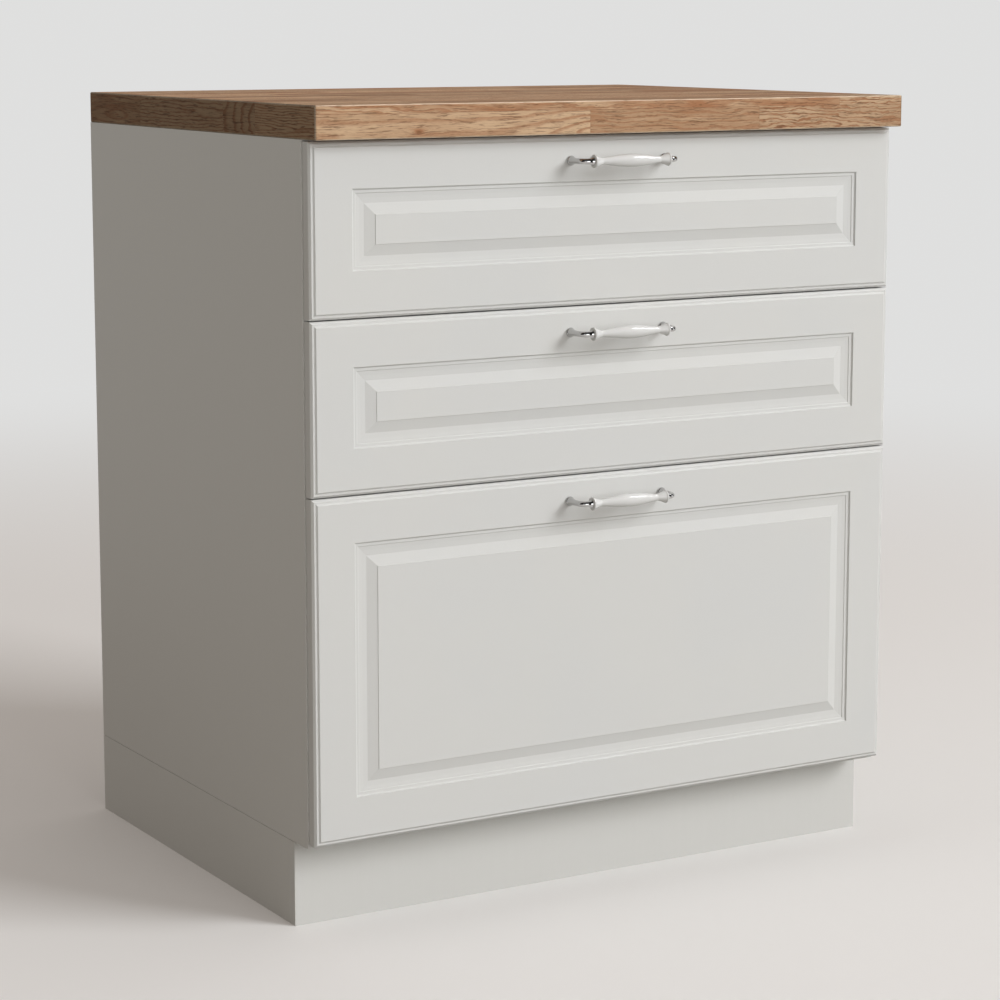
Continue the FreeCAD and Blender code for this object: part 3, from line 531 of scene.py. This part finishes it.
# The stave of every face: on the sides by its row and the joints along it, at each end by the blocks across the depth.
def countStaves(middle, row, isSide, joints, length, depth):
    low, high, number = np.zeros(len(middle)), np.zeros(len(middle)), np.zeros(len(middle), int)
    starts, stops, firstOf, total = [], [], {}, 0

    def claim(key, mine, along, borders):
        nonlocal total
        index = np.clip(np.searchsorted(borders, along[mine], "right") - 1, 0, len(borders) - 2)
        low[mine], high[mine], number[mine] = borders[index], borders[index + 1], total + index
        firstOf[key] = total
        starts.extend(borders[:-1])
        stops.extend(borders[1:])
        total += len(borders) - 1

    for rowNumber, places in joints.items():
        claim(rowNumber, isSide & (row == rowNumber), middle[:, 0], places)
    blocks = np.array([0.0] + worktop["endBlocks"] + [depth])
    for end in (0, 1):
        claim(f"end{end}", ~isSide & ((middle[:, 0] > length / 2) == bool(end)), middle[:, 1], blocks)
    return low, high, number, np.array(starts), np.array(stops), firstOf


# Random draws for every stave: tone, redness, waviness, ring width, how the pith lies under it, and how light it is.
def drawCuts(starts, stops, firstOf, rng):
    draw = rng.random((len(starts), 10))
    figured = draw[:, 2] > 0.60
    cuts = {
        "tone": 0.05 + draw[:, 0] * 1.00,
        "red": np.where(draw[:, 1] > 0.70, 0.85, 0.20 + draw[:, 1] * 0.50),
        "wavy": draw[:, 8] ** 3,
        "ring": np.where(figured, 4.0 + draw[:, 6] * 2.0, 2.6 + draw[:, 6] * 1.4),
        "reach": np.where(figured, 9.0 + draw[:, 4] * 9.0, 24.0 + draw[:, 4] * 30.0),
        "slope": np.where(figured, 0.06 + draw[:, 5] * 0.14, 0.02 + draw[:, 5] * 0.03),
        "flame": starts + (stops - starts) * (draw[:, 7] * 1.4 - 0.2),
        "offset": np.where(figured, (draw[:, 3] - 0.5) * 16, (draw[:, 3] - 0.5) * 50),
        "light": 0.84 + draw[:, 9] * 0.32,
        "knot": np.full((len(starts), 2), worktop["farKnot"]),
    }
    cuts["red"][firstOf["end0"]:] *= worktop["endRed"]
    for (row, place), changes in worktopStaves.items():
        for key, value in changes.items():
            cuts[key][firstOf[row] + place] = value
    return cuts


# The worktop is a grid of stations along its length by distances round its outline: a point is the core rectangle's
# point plus its arm times the easing less the station's inset.
def makeWorktop():
    low, high = [np.array(corner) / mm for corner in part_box("worktop")]
    length, depth, height = high - low
    stave, wrap, easing = worktop["stave"], worktop["wrap"], worktop["easing"]
    rng = np.random.default_rng(worktop["seed"])
    rows = np.arange(-math.ceil((depth + height) / stave) - 1, math.ceil(depth / stave) + 3)
    joints = rowJoints(rows.tolist(), length, rng)
    ladder, distances = outlineDistances(rows, depth, height)
    core, arm = unrolled(distances, depth, height, easing)
    stations, insets = lengthStations(joints, length)

    points = np.empty((len(stations), len(distances), 3))
    points[:, :, 0] = stations[:, None]
    points[:, :, 1:] = core[None] + arm[None] * (easing - insets)[:, None, None]
    points = points.reshape(-1, 3)
    faces, sideCount = worktopFaces(points, len(stations), distances, ladder, depth, height)
    mesh = makeMesh("worktopStaves", points * mm + low * mm, faces)
    sharpen(mesh, 50)

    # every face's middle, and its place round the outline; the seam's quads keep one running measure
    corners = np.concatenate([group.ravel() for group in faces])
    sides = np.concatenate([np.full(len(group), group.shape[1]) for group in faces])
    faceOf = np.repeat(np.arange(len(sides)), sides)
    middle = np.stack([np.bincount(faceOf, points[corners, axis]) / sides for axis in range(3)], 1)
    isSide = np.arange(len(sides)) < sideCount
    wrapped = np.tile(distances, len(stations))[corners]
    seam = isSide & (np.bincount(faceOf, wrapped > 0) > 0) & (np.bincount(faceOf, wrapped < -height) > 0)
    wrapped = np.where(seam[faceOf] & (wrapped < 0), wrapped + 2 * (depth + height), wrapped)
    row = np.floor((np.bincount(faceOf, wrapped) / sides + wrap) / stave).astype(int)
    row = np.clip(row, rows[0], rows[-1])
    staveLow, staveHigh, number, starts, stops, firstOf = countStaves(middle, row, isSide, joints, length, depth)
    cuts = drawCuts(starts, stops, firstOf, rng)

    # every corner's place in its stave's log, from its knot, and its distances to the stave's and the worktop's borders
    isEnd = ~isSide[faceOf]
    mine = number[faceOf]
    lengthwise = np.where(isEnd, points[corners, 1], points[corners, 0])
    crosswise = np.where(isEnd, points[corners, 2] - height / 2, wrapped + wrap - (row[faceOf] + 0.5) * stave)
    log = np.stack([lengthwise + mine * worktop["logShift"], crosswise + cuts["offset"][mine],
                    cuts["slope"][mine] * (lengthwise - cuts["flame"][mine])], 1) * mm
    knot = np.stack([lengthwise - cuts["knot"][mine, 0], crosswise - cuts["knot"][mine, 1],
                     np.zeros(len(mine))], 1) * mm
    alongX = points[corners, 0]
    edges = np.array([0, depth, -height, -height - depth, depth + height])
    toEdges = np.abs(wrapped[:, None] - edges).min(1)
    edge = np.where(isEnd, toEdges, np.minimum(toEdges, np.minimum(alongX, length - alongX)))
    border = np.stack([lengthwise - staveLow[faceOf], staveHigh[faceOf] - lengthwise,
                       np.where(isEnd, worktop["farBorder"], stave / 2 - np.abs(crosswise)), edge], 1) * mm
    nearEnd = np.minimum(middle[:, 0], length - middle[:, 0]) < easing
    shade = np.where(isSide & ~nearEnd, 1.0, oak["endShade"]) * cuts["light"][number]
    look = np.stack([cuts["tone"], cuts["red"], cuts["wavy"], cuts["ring"] * mm], 1)[number]
    cut = np.stack([cuts["reach"][number] * mm, shade, np.zeros(len(shade))], 1)
    for name, kind, domain, field, values in (("log", "FLOAT_VECTOR", "CORNER", "vector", log),
                                              ("knot", "FLOAT_VECTOR", "CORNER", "vector", knot),
                                              ("border", "FLOAT_COLOR", "CORNER", "color", border),
                                              ("stave", "FLOAT_COLOR", "FACE", "color", look),
                                              ("cut", "FLOAT_VECTOR", "FACE", "vector", cut)):
        mesh.attributes.new(name, kind, domain).data.foreach_set(field, values.astype(np.float32).ravel())
    addPiece("worktopStaves", mesh, "worktop")
    print("worktop:", len(starts), "staves,", len(sides), "faces")


makeWorktop()


front = {
    "chamfer": 2.4, "lip": 4.6, "slope": 6.6, "lipDrop": 1.8,  # the stepped edge, as insets from the outline
    "frame": 52.5,  # from the outline to the recess
    "floor": 16.0, "bevel": 12.5, "rise": 3.4, "depth": 4.0,
    "grow": 0.7,  # the gaps between the fronts are this much narrower at each side
    "skirt": 0.8,  # the back's border reaches this much nearer to the carcass
}


# The front's section from the middle of its back, round its edge and in to the raised field: insets and heights.
def frontSection(thickness):
    top, skirt, chamfer, lip, slope, frameWidth = [thickness] + [
        front[key] for key in ("skirt", "chamfer", "lip", "slope", "frame")]
    lipTop = top - front["lipDrop"]
    edge = [[30.0, 0.0], [3.0, 0.0], [2.8, -skirt], [0.25, -skirt], [0.0, 0.25 - skirt],
            [0.0, lipTop - chamfer - 0.25], [0.08, lipTop - chamfer],
            [chamfer - 0.2, lipTop - 0.28], [chamfer - 0.05, lipTop - 0.14], [chamfer + 0.2, lipTop],
            [lip - 0.15, lipTop], [lip + 0.25, lipTop + 0.2]]
    cove = [[lip + 0.8, lipTop + 0.55], [slope - 0.6, top - 0.6], [slope - 0.15, top - 0.14],
            [slope + 0.1, top - 0.02], [slope + 0.3, top]]
    recess = arc((frameWidth - 0.35, top - 0.35), 0.35, 90, 10, 3).tolist() + [[frameWidth + 0.25, top - 1.15]]
    recess += arc((frameWidth + 1.9, top - 0.55), 1.55, 205, 270, 5).tolist()
    recess += [[frameWidth + inset, top - drop] for inset, drop in (
        (4.3, 2.2), (4.7, 2.35), (5.0, 2.9), (5.3, 3.05), (10.0, 3.6), (front["floor"], front["depth"]))]
    crest = [frameWidth + front["floor"] + front["bevel"], top - front["depth"] + front["rise"]]
    recess += [crest, [crest[0] + 0.12, top - 0.3]] + arc((crest[0] + 0.42, top - 0.25), 0.25, 170, 90, 3).tolist()
    recess += [[crest[0] + 6.0, top]]
    return supported(np.array(edge + cove + recess), 0.15)


def makeFronts():
    for number in (1, 2, 3):
        node = f"drawer_{number}_front"
        low, high = [np.array(corner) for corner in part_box(node)]
        low[2] -= front["grow"] * mm * (number < 3)
        high[2] += front["grow"] * mm * (number > 1)
        points, faces = mitredBoard(low, high, 1, -1, frontSection((high[1] - low[1]) / mm))
        mesh = makeMesh(f"panelFront{number}", points, faces)
        sharpen(mesh, 38, corners=4)
        addPiece(f"panelFront{number}", mesh, node)
    print("drawer fronts: 3")


makeFronts()


grip = {
    "half": 51.5, "flange": 7.7, "flangeWidth": 2.0,
    "neckAt": 39.5, "neck": 3.95, "flarePower": 1.2,
    "belly": 7.6, "bellyPower": 0.68, "sides": 64,
}
post = {
    "apart": 64.0, "bend": 8.5, "reach": 29.0, "thin": 3.25, "sides": 40,
    # the rosette from the front on, as distance and radius; then the ring before the grip, after the bend
    "rosette": [[0.0, 5.0], [0.25, 5.45], [0.7, 5.7], [1.2, 5.75], [1.8, 5.68], [2.3, 5.45], [2.7, 5.12], [3.3, 4.9],
                [4.2, 4.72], [5.4, 4.42], [6.8, 4.08], [8.5, 3.76], [11.0, 3.5], [14.5, 3.33]],
    "collar": [[0.8, 3.62], [1.6, 3.82], [2.3, 4.08], [2.9, 4.38], [3.3, 4.55], [3.7, 4.55], [3.95, 4.3], [4.05, 2.1],
               [8.0, 2.0]],
}


# Turned grip, half its outline, mirrored: the flare's radius falls from the flange to the neck by a power of the way
# left, and the belly's rises from it by a power of a raised cosine.
def gripRadii():
    end, flange, neck, neckAt = [grip[key] for key in ("half", "flange", "neck", "neckAt")]
    inner = end - grip["flangeWidth"]
    face = [[end - 0.15, 3.4], [end, 4.2]]
    rim = arc((end - 0.8, flange - 0.8), 0.8, 0, 90, 5).tolist()
    rim += arc((inner + 0.6, flange - 0.6), 0.6, 90, 170, 4).tolist()
    way = np.linspace(0.04, 1, 14)
    flare = np.stack([inner - (inner - neckAt) * way,
                      neck + (flange - 0.6 - neck) * (1 - way) ** grip["flarePower"]], 1)
    along = np.linspace(neckAt, 0, 30)[1:]
    swell = 0.5 + 0.5 * np.cos(np.pi * along / neckAt)
    belly = np.stack([along, neck + (grip["belly"] - neck) * swell ** grip["bellyPower"]], 1)
    half = np.concatenate([face, rim, flare, belly])
    return np.concatenate([half, half[-2::-1] * [-1, 1]])


# The grip is its outline turned round its length: depth and height are the radius times cosine and sine of the angle.
def makeGrip(number):
    low, high = [np.array(corner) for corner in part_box(f"drawer_{number}_handle_grip")]
    centre = (low + high) / 2
    profile = gripRadii() * mm
    angle = np.linspace(0, 2 * np.pi, grip["sides"], endpoint=False)
    points = np.empty((len(profile), len(angle), 3))
    points[:, :, 0] = centre[0] + profile[:, :1]
    points[:, :, 1] = centre[1] + profile[:, 1:] * np.cos(angle)
    points[:, :, 2] = centre[2] + profile[:, 1:] * np.sin(angle)
    points = points.reshape(-1, 3)
    mesh = makeMesh(f"grip{number}", points, outward(points, ringFaces(len(profile), len(angle))))
    sharpen(mesh, 60)
    addPiece(f"grip{number}", mesh, f"drawer_{number}_handle_grip")


# A post is a round section carried along its axis: straight out of the front, round a quarter bend and into the grip.
def postBlock(foot, side):
    straight, quarter = post["reach"] - post["bend"], post["bend"] * np.pi / 2
    collar = straight + quarter
    outline = post["rosette"] + [[straight, post["thin"]]]
    outline += [[straight + quarter * way, post["thin"] + 0.25 * way ** 3] for way in np.linspace(0, 1, 13)[1:]]
    outline += [[collar + beyond, radius] for beyond, radius in post["collar"]]
    travel, radius = np.array(outline).T
    turn = np.clip((travel - straight) / post["bend"], 0, np.pi / 2)
    beyond = np.maximum(travel - collar, 0)
    out = np.minimum(travel, straight) + post["bend"] * np.sin(turn)
    inward = post["bend"] * (1 - np.cos(turn)) + beyond
    centre = np.stack([foot[0] / mm - side * inward, foot[1] / mm - out, np.full(len(out), foot[2] / mm)], 1)
    across = np.stack([-side * np.cos(turn), np.sin(turn), np.zeros(len(turn))], 1)
    angle = np.linspace(0, 2 * np.pi, post["sides"], endpoint=False)
    ring = across[:, None] * np.cos(angle)[None, :, None] + np.array([0, 0, 1.0]) * np.sin(angle)[None, :, None]
    points = ((centre[:, None] + ring * radius[:, None, None]) * mm).reshape(-1, 3)
    return points, outward(points, ringFaces(len(travel), post["sides"]))


# A post at each side of the grip's middle, as one piece.
def makePosts(number):
    low, high = [np.array(corner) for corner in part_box(f"drawer_{number}_handle_posts")]
    blocks = [postBlock((side * post["apart"] * mm, high[1], (low[2] + high[2]) / 2), side) for side in (-1, 1)]
    mesh = makeMesh(f"posts{number}", *together(blocks))
    sharpen(mesh, 45)
    addPiece(f"posts{number}", mesh, f"drawer_{number}_handle_posts")


for number in (1, 2, 3):
    makeGrip(number)
    makePosts(number)
print("handles: 3 grips, 6 posts")


boards = {"easing": 0.25, "steps": 4, "flat": 12.0}  # flat: how far in the last ring of points lies


# A plain board: its outline with both faces' edges eased by a quarter circle.
def easedSection(thickness):
    easing, steps = boards["easing"], boards["steps"]
    start = arc((easing, easing), easing, 270, 180, steps)
    stop = arc((easing, thickness - easing), easing, 180, 90, steps)
    return supported(np.concatenate([[[boards["flat"], 0.0]], start, stop, [[boards["flat"], thickness]]]))


def makeBoard(name, node, axis):
    low, high = [np.array(corner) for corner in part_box(node)]
    points, faces = mitredBoard(low, high, axis, 1, easedSection((high[axis] - low[axis]) / mm))
    mesh = makeMesh(name, points, faces)
    sharpen(mesh, 50, corners=4)
    addPiece(name, mesh, node)


for name, node, axis in (("sidePanelLeft", "side_panel_left", 0), ("sidePanelRight", "side_panel_right", 0),
                         ("plinthBoardFront", "plinth_front", 1), ("plinthBoardLeft", "plinth_left", 0),
                         ("plinthBoardRight", "plinth_right", 0)):
    makeBoard(name, node, axis)
print("plain boards: 5")


studio = {
    "floorSeen": (0.86, 0.855, 0.845),  # the floor's colour as the camera and a reflection see it
    "floorBounce": (0.30, 0.28, 0.25),  # the floor's colour in the light that it throws back
    "backdrop": (0.74, 0.74, 0.735),  # the room as the camera and a reflection see it
    "roof": (0.05, 0.05, 0.05),  # what polished parts reflect from overhead
    "horizon": (0.335, 0.316, 0.280), "ceiling": (0.52, 0.47, 0.44),  # the light from the room
    "fadeFrom": 1.3, "fadeTo": 4.5, "floorHalf": 30.0,  # metres from the middle of the floor
    "lampAim": (0.0, -0.29, 0.5),
}
# place in metres, side of the square, watts, whether reflections show it, and whether it lights matt surfaces
lamps = {
    "keyLamp": ((7.03, -8.45, 5.84), 5.6, 1080.0, False, True),
    "fillLamp": ((0.60, -9.00, 1.00), 4.5, 215.0, False, True),
    "highCard": ((4.20, -2.70, 4.90), 1.9, 190.0, True, False),
    "leftCard": ((-0.60, -3.40, 0.50), 1.8, 26.0, True, False),
    "rightCard": ((4.20, -2.20, 0.60), 1.1, 12.0, True, False),
}
lampColour = (0.975, 0.987, 1.0)
# black cloths on rails, with a gap at the front left, and one on the floor, which only reflections show
flag = {
    "rails": [[[-3.4, 3.0], [-3.4, -2.6]], [[0.5, -3.6], [4.5, -3.6], [4.5, 1.0]]],
    "floor": [[0.5, -3.6], [4.5, -3.6], [4.5, -1.3], [0.2, -1.3]], "top": 4.2,
}


def seenOrMirrored(sheet):
    path = sheet.node("LightPath").socket.node.outputs
    rays = [Wire(sheet, path[name]) for name in ("Is Camera Ray", "Is Glossy Ray", "Is Transmission Ray")]
    return rays[0].math("MAXIMUM", rays[1]).math("MAXIMUM", rays[2])


def addStage(name, mesh, material):
    thing = bpy.data.objects.new(name, mesh)
    bpy.context.scene.collection.objects.link(thing)
    mesh.materials.append(material)
    return thing


# The floor near the object, which turns into the backdrop's glow with the distance.
def makeFloor():
    half = studio["floorHalf"]
    points = np.array([[-half, -half, 0], [half, -half, 0], [half, half, 0], [-half, half, 0]], float)
    mesh = makeMesh("studioFloor", points, [np.array([[0, 1, 2, 3]])])
    sheet = newSheet("paleFloor")
    x, y, _ = sheet.split(sheet.place())
    away = sheet.rise((x * x + y * y) ** 0.5, studio["fadeFrom"], studio["fadeTo"])
    seen = sheet.node("BsdfDiffuse", None, {"Color": studio["floorSeen"] + (1,)})
    bounce = sheet.node("BsdfDiffuse", None, {"Color": studio["floorBounce"] + (1,)})
    beyond = sheet.mix(seenOrMirrored(sheet), studio["horizon"], studio["backdrop"])
    glow = sheet.node("Emission", None, {"Color": beyond, "Strength": 1.0})
    near = sheet.node("MixShader", None, {0: seenOrMirrored(sheet), 1: bounce, 2: seen})
    sheet.node("OutputMaterial", None, {0: sheet.node("MixShader", None, {0: away, 1: near, 2: glow})})
    addStage("studioFloor", mesh, sheet.owner)


def makeRoom():
    world = bpy.data.worlds.new("studioRoom")
    bpy.context.scene.world = world
    sheet = Sheet(world)
    height = sheet.split(sheet.place())[2]
    lit = sheet.mix(sheet.rise(height, 0.24, 0.75), studio["horizon"], studio["ceiling"])
    seen = sheet.mix(sheet.rise(height, 0.30, 0.45), studio["backdrop"], studio["roof"])
    colour = sheet.mix(seenOrMirrored(sheet), lit, seen)
    sheet.node("OutputWorld", None, {0: sheet.node("Background", None, {"Color": colour, "Strength": 1.0})})


def makeFlag():
    points, faces = [spot + [0.01] for spot in flag["floor"]], [[0, 1, 2, 3]]
    for rail in flag["rails"]:
        for start, stop in zip(rail[:-1], rail[1:]):
            faces.append(list(range(len(points), len(points) + 4)))
            points += [start + [0.01], stop + [0.01], stop + [flag["top"]], start + [flag["top"]]]
    mesh = makeMesh("blackFlag", np.array(points), [np.array(faces)])
    black = newSheet("blackCloth").surface((0.01, 0.01, 0.01, 1.0), 1.0, specular=0.0)
    cloth = addStage("blackFlag", mesh, black)
    cloth.visible_camera = cloth.visible_diffuse = cloth.visible_shadow = cloth.visible_transmission = False


def makeLamps():
    for name, (place, side, power, mirrored, lights) in lamps.items():
        lamp = bpy.data.lights.new(name, "AREA")
        lamp.shape, lamp.size, lamp.energy = "SQUARE", side, power
        holder = bpy.data.objects.new(name, lamp)
        bpy.context.scene.collection.objects.link(holder)
        holder.location = place
        holder.rotation_euler = (Vector(studio["lampAim"]) - Vector(place)).to_track_quat("-Z", "Y").to_euler()
        lamp.color = lampColour
        holder.visible_camera = False
        holder.visible_glossy, holder.visible_diffuse = mirrored, lights


makeFloor()
makeRoom()
makeFlag()
makeLamps()


view = {
    "turn": 30.384, "dip": 8.556, "distance": 3.56127, "target": (0.012047, 0.0, 0.502212),
    "lens": 101.184, "shift": -0.06,
}


def makeCamera():
    turn, dip = math.radians(view["turn"]), math.radians(view["dip"])
    ahead = Vector((math.sin(turn) * math.cos(dip), math.cos(turn) * math.cos(dip), -math.sin(dip)))
    data = bpy.data.cameras.new("photoCamera")
    data.lens, data.sensor_width, data.shift_y = view["lens"], 36.0, view["shift"]
    camera = bpy.data.objects.new("photoCamera", data)
    bpy.context.scene.collection.objects.link(camera)
    camera.location = Vector(view["target"]) - ahead * view["distance"]
    camera.rotation_euler = (math.pi / 2 - dip, 0, -turn)
    bpy.context.scene.camera = camera


makeCamera()
bpy.context.scene.view_settings.view_transform = "Standard"
print("studio and camera ready")
